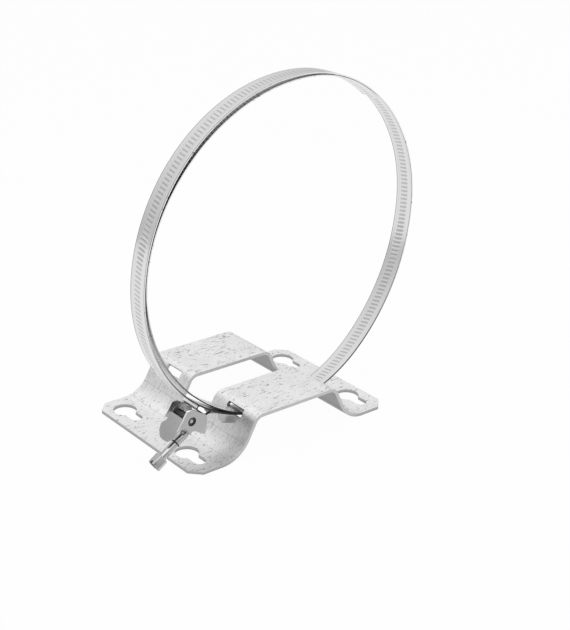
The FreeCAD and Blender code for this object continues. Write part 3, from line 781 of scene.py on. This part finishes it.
class VESSEL_STRAP_OT_screw(bpy.types.Operator):
    """Models the clamp screw with its worm, shank, neck and slotted hexagon"""

    bl_idname = "vessel_strap.screw"
    bl_label = "Clamp screw"

    def execute(self, context):
        parts = [worm_thread(), screw_head()]
        for radius, low, high, rim in TURNED_PARTS:
            piece = cylinder(radius, low, high)
            round_ends(piece, rim)
            parts.append(piece)
        screw = join(parts, "clamp_screw_worm")
        place_on_screw(screw)
        smooth(screw)
        steel = tuple(colours().screw_steel)
        cover(screw,
              metal("Plated screw steel", steel, grey(0.15), roughness=0.16, fleck_limit=0.7,
                    cloudiness=0.4),
              metal("Dull screw end", shade(steel, HEAD_END_TONE), grey(0.03), roughness=0.4))
        axis = Matrix.Rotation(math.radians(SCREW_TURN), 3, "Y") @ Vector((0, 0, 1))
        seat = Vector(SCREW_SEAT) * MM + DATUM
        for face in screw.data.polygons:
            at_end = (face.center - seat).dot(axis) > NECK_END * MM
            if at_end and face.normal.dot(axis) > ALONG_AXIS:
                face.material_index = 1
        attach(screw, "screw")
        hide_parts("clamp_screw")
        return {"FINISHED"}


# ---- bent and cut sheet ----

# Steps of a rounded corner, and the most of an edge that one rounding takes.
ROUND_STEPS, LONGEST_SHARE = 5, 0.48
# Rounding of the cut edges: its width and its segments.
CHEEK_EDGE, ROOF_EDGE, SEAT_EDGE = (0.1, 2), (0.18, 3), (0.12, 2)
EAR_EDGE, LUG_EDGE, PIN_EDGE, RIVET_DOME = (0.12, 2), (0.3, 3), (0.1, 2), (0.6, 5)


def rounded(outline):
    """Corner points (x, y, rounding) turned into a row of points with the corners rounded."""
    points = []
    count = len(outline)
    for index, (x, y, radius) in enumerate(outline):
        corner = Vector((x, y))
        before = Vector(outline[index - 1][:2]) - corner
        after = Vector(outline[(index + 1) % count][:2]) - corner
        reach = min(radius / math.tan(before.angle(after) / 2), before.length * LONGEST_SHARE,
                    after.length * LONGEST_SHARE)
        first, last = corner + before.normalized() * reach, corner + after.normalized() * reach
        for step in range(ROUND_STEPS + 1):
            share = step / ROUND_STEPS
            points.append(first * (1 - share) ** 2 + corner * 2 * share * (1 - share)
                          + last * share ** 2)
    return points


def circle_points(x, y, radius):
    return [Vector((x + radius * math.cos(math.tau * step / CIRCLE_SIDES),
                    y + radius * math.sin(math.tau * step / CIRCLE_SIDES)))
            for step in range(CIRCLE_SIDES)]


def signed_area(points):
    return sum(points[index - 1].cross(point) for index, point in enumerate(points))


def plate(name, points, low, high):
    """A flat plate with an outline of X and Y, from one height to another."""
    deselect_everything()
    bpy.ops.mesh.primitive_circle_add(vertices=len(points), radius=1.0, fill_type="NGON")
    piece = name_new(name)
    edit(piece)
    starts = [vertex.co.copy() for vertex in bmesh.from_edit_mesh(piece.data).verts]
    # The circle's points run anticlockwise, so the outline's do too.
    outline = points if signed_area(points) > 0 else points[::-1]
    for index, (start, target) in enumerate(zip(starts, outline)):
        choose(piece, "verts", lambda v: v.index == index)
        bpy.ops.transform.translate(value=Vector((target.x, target.y, low)) * MM - start)
    bpy.ops.mesh.select_all(action="SELECT")
    bpy.ops.mesh.extrude_region_move(TRANSFORM_OT_translate={"value": (0, 0, (high - low) * MM)})
    turn_faces_out()
    close_edit()
    return piece


def strip(name, line, thickness, half_width, finishes):
    """A bent sheet along a line of X and Z; its thickness lies to the left of the line.

    The finishes are those of its right side, its left side and its cut edges."""
    deselect_everything()
    last = len(line) - 1
    bpy.ops.mesh.primitive_grid_add(x_subdivisions=last, y_subdivisions=1, size=1.0)
    piece = name_new(name)
    piece.scale.y = half_width * 2 * MM
    apply_place(piece)
    edit(piece)
    columns = [[] for _ in line]
    for vertex in bmesh.from_edit_mesh(piece.data).verts:
        columns[round((vertex.co.x + 0.5) * last)].append(vertex.index)
    for index, (across, up) in enumerate(line):
        choose(piece, "verts", lambda v: v.index in columns[index])
        bpy.ops.transform.translate(value=(across * MM - (index / last - 0.5), 0, up * MM))
    close_edit()
    cover(piece, *finishes)
    apply_modifier(piece, "SOLIDIFY", thickness=thickness * MM, offset=-1.0, use_even_offset=True,
                   material_offset=1, material_offset_rim=2)
    return piece


def stand(piece):
    """Turns a flat plate upright, so that its outline's Y is up."""
    piece.rotation_euler.x = math.radians(90)
    apply_place(piece)
    return piece


def side_plate(name, points, near, far, side):
    """An upright plate on one side of the middle plane, between two distances from it."""
    low, high = sorted((near * side, far * side))
    return stand(plate(name, points, low, high))


def finish_part(piece, rim, finish):
    round_ends(piece, *rim)
    cover(piece, finish)
    return piece


def pressed_finish(name="Pressed stainless"):
    return metal(name, tuple(colours().pressed_steel), grey(0.15), roughness=0.3, fleck_limit=0.72,
                 cloudiness=0.3)


# ---- the buckle ----

# The housing turns on the pivot, under the band.
PIVOT = (5.9, BAND_MIDDLE, 27.2)
HOUSING_TURN = 122.0
CHEEK_INSIDE, CHEEK_OUTSIDE = 6.35, 7.15
# Outline of a cheek from the pivot, along the housing and square to it, with each corner's rounding.
CHEEK = [
    (-4.7, -6.4, 1.6), (-5.9, -3.6, 2.0), (-6.1, 6.5, 0.6), (-5.4, 8.2, 0.5), (-0.9, 10.8, 0.8),
    (4.1, 13.1, 0.9), (4.2, 3.8, 0.5), (6.3, 2.8, 0.3), (4.6, -3.0, 1.2), (8.0, -5.4, 0.3),
    (8.0, -6.4, 0.2),
]
# The far cheek ends here, where the roof has a neck, instead of at the outline's last three corners.
FAR_CHEEK_END = [(4.3, -3.2, 0.6), (4.5, -6.4, 0.2)]
# Outline of the roof: how far along the housing and how far across, with each corner's rounding.
ROOF = [
    (0.3, -6.6, 0.1), (7.9, -6.6, 0.1), (8.1, -7.0, 0.3), (11.9, -6.5, 2.0), (15.0, -3.2, 2.5),
    (15.5, 0.0, 3.0), (15.0, 3.2, 2.5), (11.9, 6.2, 2.0), (8.8, 6.9, 1.0), (6.6, 6.0, 1.0),
    (5.6, 4.3, 0.8), (0.3, 4.3, 0.3),
]
ROOF_LOW, ROOF_HIGH = -6.4, -5.6
PIVOT_HOLE, DRILL_LENGTH = 2.58, 100.0
# The fold between cheek and roof: the outer edges of a cheek below and before these places.
FOLD_BELOW, FOLD_BEFORE, FOLD_RADIUS, FOLD_SEGMENTS = -3.9, 8.1, 0.675, 5
# Faces of the fold that get the painted highlight: below this place, and neither flat nor square to the
# cheek.
PAINTED_HIGHLIGHT_BELOW, PAINTED_HIGHLIGHT_FACING = -3.2, (0.15, 0.97)
SEAT_HALF_THICKNESS, SEAT_HALF_SPAN, SEAT_ROUNDING = 0.4, 3.7, 0.6
# Places nearer than this are taken as the same.
TOUCH = 0.01


def bore(piece, radius):
    """Bores a hole along Y through the origin."""
    deselect_everything()
    bpy.ops.mesh.primitive_cylinder_add(vertices=CIRCLE_SIDES, radius=radius * MM,
                                        depth=DRILL_LENGTH * MM, rotation=(math.radians(90), 0, 0))
    cut_with(piece, name_new("drill"))


def place_on_pivot(piece, turn=0.0):
    piece.rotation_euler.y = math.radians(turn)
    piece.location = Vector(PIVOT) * MM + DATUM
    apply_place(piece)


def folded_cheek(side, pressed, edge_rounding_and_painted_highlight):
    """A cheek with its pivot hole; the fold toward the roof is rounded and carries a painted highlight.
    """
    outline = CHEEK if side > 0 else CHEEK[:-3] + FAR_CHEEK_END
    cheek = side_plate("cheek", rounded(outline), CHEEK_INSIDE, CHEEK_OUTSIDE, side)
    bore(cheek, PIVOT_HOLE)
    outside = -CHEEK_OUTSIDE * side * MM
    edit(cheek, "EDGE")
    choose(cheek, "edges", lambda e: all(
        abs(v.co.y - outside) < TOUCH * MM and v.co.z < FOLD_BELOW * MM and v.co.x < FOLD_BEFORE * MM
        for v in e.verts))
    bpy.ops.mesh.bevel(offset=FOLD_RADIUS * MM, segments=FOLD_SEGMENTS, affect="EDGES")
    close_edit()
    cover(cheek, pressed, edge_rounding_and_painted_highlight)
    least, most = PAINTED_HIGHLIGHT_FACING
    for face in cheek.data.polygons:
        if least < -face.normal.y * side < most and face.center.z < PAINTED_HIGHLIGHT_BELOW * MM:
            face.material_index = 1
    round_ends(cheek, *CHEEK_EDGE)
    return cheek


def screw_seat(pressed):
    """The cross plate that holds the screw's end."""
    corners = [(along * SEAT_HALF_SPAN, across * CHEEK_INSIDE, SEAT_ROUNDING)
               for along, across in ((-1, -1), (1, -1), (1, 1), (-1, 1))]
    seat = plate("seat", rounded(corners), -SEAT_HALF_THICKNESS, SEAT_HALF_THICKNESS)
    place_on_screw(finish_part(seat, SEAT_EDGE, pressed))
    return seat


class VESSEL_STRAP_OT_housing(bpy.types.Operator):
    """Models the folded housing: two cheeks, a roof with a round tongue and the screw's seat"""

    bl_idname = "vessel_strap.housing"
    bl_label = "Buckle housing"

    def execute(self, context):
        pressed = pressed_finish()
        # Painted highlight: the fold's faces are drawn near white, as the bright line that the fold
        # catches.
        edge_rounding_and_painted_highlight = metal("Burnished fold", grey(0.92), grey(0.5), roughness=0.3, fleck_limit=0.75)
        parts = [folded_cheek(side, pressed, edge_rounding_and_painted_highlight) for side in (-1, 1)]
        roof = plate("roof", rounded(ROOF), ROOF_LOW, ROOF_HIGH)
        parts.append(finish_part(roof, ROOF_EDGE, pressed))
        housing = join(parts, "folded_housing")
        place_on_pivot(housing, HOUSING_TURN)
        housing = join([housing, screw_seat(pressed)], "folded_housing")
        smooth(housing)
        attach(housing, "buckle")
        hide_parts("buckle_housing")
        return {"FINISHED"}


# ---- the saddle and the pin ----

SADDLE_HALF_WIDTH, SHEET = 6.2, 0.75
TONGUE_TIP, TONGUE_HEEL, TONGUE_RADIUS, TONGUE_STEPS = (41.2, 20.1), (19.4, 28.9), 80.0, 24
# The tongue runs on past its heel to here, then folds back under itself and leaves an open eye.
EYE_END = 12.0
EYE_FOLD = [(11.3, 34.2), (10.6, 34.1), (10.15, 33.6), (10.2, 32.9), (10.7, 32.3), (14.6, 28.9)]
# At both edges the fold runs on to meet the tongue again.
EYE_FOOT = [(14.1, 29.3), (14.7, 28.8), (15.3, 28.4), (16.1, 28.4), (17.3, 28.8), (18.9, 29.0)]
EYE_FOOT_HALF_WIDTH = 0.5
LUG = [
    (23.4, 26.6, 0.6), (35.1, 21.8, 0.8), (36.6, 19.2, 1.0), (35.5, 17.1, 1.2), (26.3, 20.0, 1.6),
    (24.2, 22.8, 1.2),
]
LUG_OUTSIDE = 6.9
EAR = [(8.8, 24.2, 1.0), (3.3, 30.5, 1.0), (8.9, 32.8, 0.6), (15.2, 27.5, 0.6)]
EAR_RADIUS, EAR_INSIDE = 4.2, 5.5

PIN_RADIUS, PIN_HALF_LENGTH = 2.5, 6.35
RIVET_RADIUS, RIVET_END = 1.2, 6.95


def tongue_line():
    """The tongue's curve from its tip past its heel to the eye, as points of X and Z."""
    tip, heel = Vector(TONGUE_TIP), Vector(TONGUE_HEEL)
    chord = heel - tip
    away = math.sqrt(TONGUE_RADIUS ** 2 - chord.length_squared / 4) / chord.length
    centre = (tip + heel) / 2 + Vector((chord.y, -chord.x)) * away
    line = []
    for step in range(TONGUE_STEPS + 1):
        across = TONGUE_TIP[0] + (EYE_END - TONGUE_TIP[0]) * step / TONGUE_STEPS
        line.append((across, centre.y - math.sqrt(TONGUE_RADIUS ** 2 - (across - centre.x) ** 2)))
    return line


def saddle_side(side, pressed, bright, inside, edge):
    """What stands on one side of the saddle: the eye's foot, a lug, and an ear round the pivot."""
    foot = strip("foot", EYE_FOOT, SHEET, EYE_FOOT_HALF_WIDTH, (edge, inside, edge))
    foot.location.y = (SADDLE_HALF_WIDTH - EYE_FOOT_HALF_WIDTH) * side * MM
    apply_place(foot)
    lug = side_plate("lug", rounded(LUG), SADDLE_HALF_WIDTH, LUG_OUTSIDE, side)
    parts = [foot, finish_part(lug, LUG_EDGE, bright)]
    round_ear = circle_points(PIVOT[0], PIVOT[2], EAR_RADIUS)
    for name, points in (("ear", rounded(EAR)), ("boss", round_ear)):
        piece = side_plate(name, points, EAR_INSIDE, SADDLE_HALF_WIDTH, side)
        parts.append(finish_part(piece, EAR_EDGE, pressed))
    return parts


class VESSEL_STRAP_OT_saddle(bpy.types.Operator):
    """Models the saddle: a tongue that folds back into an open eye, two lugs and two ears"""

    bl_idname = "vessel_strap.saddle"
    bl_label = "Saddle"

    def execute(self, context):
        pressed = pressed_finish("Pressed saddle")
        bright = metal("Bright lug", grey(0.46), grey(0.2), roughness=0.22, fleck_limit=0.72)
        # Painted light: the tongue's underside and the inside of the eye are drawn near white, as the
        # light seen through the open eye.
        inside = metal("Bright inside of the eye", grey(0.9), grey(0.5), roughness=0.3,
                       cloudiness=0.2)
        # Painted shade: the saddle's cut edges are drawn near black, as the shade under the band.
        edge = metal("Blackened saddle edge", tuple(colours().dark_collar_and_edge_shade), grey(0.01),
                     roughness=0.4, metallic=0.5)
        parts = [strip("tongue", tongue_line() + EYE_FOLD, SHEET, SADDLE_HALF_WIDTH,
                       (pressed, inside, edge))]
        for side in (-1, 1):
            parts += saddle_side(side, pressed, bright, inside, edge)
        saddle = join(parts, "folded_saddle")
        saddle.location = Vector((0, BAND_MIDDLE, 0)) * MM + DATUM
        apply_place(saddle)
        smooth(saddle)
        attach(saddle, "bracket_and_strap")
        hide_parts("strap_saddle")
        return {"FINISHED"}


class VESSEL_STRAP_OT_pin(bpy.types.Operator):
    """Models the hinge pin: a shank painted dark as the shade in its hole, with a small bright dome at
    each end
    """

    bl_idname = "vessel_strap.pin"
    bl_label = "Hinge pin"

    def execute(self, context):
        shank = cylinder(PIN_RADIUS, -PIN_HALF_LENGTH, PIN_HALF_LENGTH)
        # Painted shade: the shank is drawn near black, as the dark recess of the pivot hole.
        finish_part(shank, PIN_EDGE, metal("Dark pin shank", grey(0.1), grey(0.02), roughness=0.4))
        dome = cylinder(RIVET_RADIUS, -RIVET_END, RIVET_END)
        finish_part(dome, RIVET_DOME, metal("Bright pin", tuple(colours().screw_steel), grey(0.2),
                                            roughness=0.2, fleck_limit=0.75))
        pin = stand(join([dome, shank], "rivet_pin"))
        place_on_pivot(pin)
        smooth(pin)
        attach(pin, "bracket_and_strap")
        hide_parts("hinge_pin")
        return {"FINISHED"}


# ---- the stage ----

CAMERA_PLACE = Vector((-353.70, -468.92, 352.41)) * MM + DATUM
CAMERA_AZIMUTH, CAMERA_ELEVATION, CAMERA_ROLL = 40.90, 23.68, 2.63
FOCAL_PIXELS, PRINCIPAL_POINT = 1289.45, (277.15, 315.88)
PICTURE = (570, 630)
SENSOR_WIDTH, CLIP_START, CLIP_END = 36.0, 0.01, 20.0
# Place, size and power of the two lamps, and what they are aimed at.
KEY_LAMP, FILL_LAMP = ((-0.9, -0.7, 1.5), 2.0, 10.5), ((1.2, -0.9, 0.9), 1.4, 4.0)
LAMP_AIM = Vector((0, 0, 0.08))
FLOOR_SIZE, FLOOR_WHITE_SHARE = 6.0, 0.97
WHITE, HORIZON, DARK_PATCH = grey(1.0), grey(0.62), grey(0.2)
# The surround is white from this height up; toward the dark side it is open and darker.
WHITE_FROM = 0.75
DARK_SIDE, DARK_REACH = (-0.60, -0.69, 0.40), (0.86, 0.96)
# The surround lights the part with this strength, and is seen at full strength.
SURROUND_LIGHT = 0.55


def seeing_rays(tree, *kinds):
    """1 for the rays that see the studio itself and 0 for those that only carry its light."""
    rays = add(tree, "ShaderNodeLightPath").outputs
    seen = rays["Is Camera Ray"]
    for kind in kinds:
        seen = calc(tree, "MAXIMUM", seen, rays[kind])
    return seen


def floor_finish():
    """A pale floor that the camera and reflections see as white, still darkened by the shadow."""
    material, tree, shader = new_material("Studio floor")
    shader.inputs["Base Color"].default_value = (*colours().floor, 1.0)
    shader.inputs["Roughness"].default_value = 0.9
    shader.inputs["Specular IOR Level"].default_value = 0.1
    white = add(tree, "ShaderNodeEmission", in_Strength=1.0)
    mix = add(tree, "ShaderNodeMixShader")
    share = calc(tree, "MULTIPLY", seeing_rays(tree, "Is Glossy Ray"), FLOOR_WHITE_SHARE)
    for source, socket in zip((share, shader.outputs[0], white.outputs[0]), mix.inputs):
        tree.links.new(source, socket)
    tree.links.new(mix.outputs[0], tree.nodes["Material Output"].inputs["Surface"])
    return material


def light_world():
    """A soft surround: white to the camera; to reflections and as light, white high up, greyer toward
    the horizon and darker toward one side; dimmer as light.
    """
    world = bpy.data.worlds.new("Studio")
    bpy.context.scene.world = world
    world.use_nodes = True
    tree = world.node_tree
    back = tree.nodes["Background"].inputs
    place = add(tree, "ShaderNodeTexCoord").outputs["Generated"]
    height = mapped(tree, parts_of(tree, place)["Z"], 0.0, WHITE_FROM)
    toward = add(tree, "ShaderNodeVectorMath", operation="DOT_PRODUCT")
    toward.inputs[1].default_value = DARK_SIDE
    tree.links.new(place, toward.inputs[0])
    room = mixed(tree, mixed(tree, HORIZON, WHITE, height), DARK_PATCH,
                 mapped(tree, toward.outputs["Value"], *DARK_REACH))
    tree.links.new(mixed(tree, room, WHITE, seeing_rays(tree)), back["Color"])
    seen = seeing_rays(tree, "Is Transmission Ray", "Is Glossy Ray")
    tree.links.new(mapped(tree, seen, 0.0, 1.0, SURROUND_LIGHT, 1.0), back["Strength"])


def add_lamp(name, place, size, power):
    deselect_everything()
    bpy.ops.object.light_add(type="AREA", location=place)
    lamp = bpy.context.object
    lamp.name = name
    lamp.data.shape = "DISK"
    lamp.data.size = size
    lamp.data.energy = power
    lamp.rotation_mode = "QUATERNION"
    lamp.rotation_quaternion = (LAMP_AIM - Vector(place)).to_track_quat("-Z", "Y")
    return lamp


def add_camera():
    deselect_everything()
    bpy.ops.object.camera_add(location=CAMERA_PLACE)
    camera = bpy.context.object
    camera.name = "picture_camera"
    azimuth, elevation, roll = (math.radians(angle) for angle in
                                (CAMERA_AZIMUTH, CAMERA_ELEVATION, CAMERA_ROLL))
    forward = Vector((math.sin(azimuth) * math.cos(elevation), math.cos(azimuth) * math.cos(elevation),
                      -math.sin(elevation)))
    level_right = Vector((math.cos(azimuth), -math.sin(azimuth), 0))
    level_up = level_right.cross(forward)
    right = level_right * math.cos(roll) + level_up * math.sin(roll)
    up = level_up * math.cos(roll) - level_right * math.sin(roll)
    camera.rotation_mode = "QUATERNION"
    camera.rotation_quaternion = Matrix((right, up, -forward)).transposed().to_quaternion()
    long_side = max(PICTURE)
    camera.data.sensor_width = SENSOR_WIDTH
    camera.data.lens = FOCAL_PIXELS * SENSOR_WIDTH / long_side
    camera.data.shift_x = (PICTURE[0] / 2 - PRINCIPAL_POINT[0]) / long_side
    camera.data.shift_y = (PRINCIPAL_POINT[1] - PICTURE[1] / 2) / long_side
    camera.data.clip_start, camera.data.clip_end = CLIP_START, CLIP_END
    bpy.context.scene.camera = camera


class VESSEL_STRAP_OT_stage(bpy.types.Operator):
    """Lays the floor, hangs the lamps and sets the camera"""

    bl_idname = "vessel_strap.stage"
    bl_label = "Stage"

    def execute(self, context):
        deselect_everything()
        bpy.ops.mesh.primitive_plane_add(size=FLOOR_SIZE, location=(0, 0, 0))
        floor = name_new("studio_floor")
        cover(floor, floor_finish())
        light_world()
        add_lamp("key_lamp", *KEY_LAMP)
        add_lamp("fill_lamp", *FILL_LAMP)
        add_camera()
        context.scene.view_settings.view_transform = "Standard"
        return {"FINISHED"}


class VESSEL_STRAP_PT_panel(bpy.types.Panel):
    """Sizes, colours and the steps that make the strap"""

    bl_idname = "VESSEL_STRAP_PT_panel"
    bl_label = "Vessel Strap"
    bl_space_type = "VIEW_3D"
    bl_region_type = "UI"
    bl_category = "Vessel Strap"

    def draw(self, context):
        for group in (context.scene.strap_sizes, context.scene.strap_colours):
            box = self.layout.box()
            for name in group.__annotations__:
                box.prop(group, name)
        for step in STEPS:
            self.layout.operator(step.bl_idname)


STEPS = (
    VESSEL_STRAP_OT_bracket, VESSEL_STRAP_OT_band, VESSEL_STRAP_OT_saddle, VESSEL_STRAP_OT_pin,
    VESSEL_STRAP_OT_housing, VESSEL_STRAP_OT_screw, VESSEL_STRAP_OT_washer, VESSEL_STRAP_OT_stage,
)
CLASSES = (StrapSizes, StrapColours, *STEPS, VESSEL_STRAP_PT_panel)


def register():
    for item in CLASSES:
        bpy.utils.register_class(item)
    bpy.types.Scene.strap_sizes = PointerProperty(type=StrapSizes)
    bpy.types.Scene.strap_colours = PointerProperty(type=StrapColours)


def unregister():
    del bpy.types.Scene.strap_colours
    del bpy.types.Scene.strap_sizes
    for item in reversed(CLASSES):
        bpy.utils.unregister_class(item)


def main():
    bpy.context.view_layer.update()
    register()
    bpy.ops.vessel_strap.bracket()
    bpy.ops.vessel_strap.band()
    bpy.ops.vessel_strap.saddle()
    bpy.ops.vessel_strap.pin()
    bpy.ops.vessel_strap.housing()
    bpy.ops.vessel_strap.screw()
    bpy.ops.vessel_strap.washer()
    bpy.ops.vessel_strap.stage()


if __name__ == "__main__":
    main()
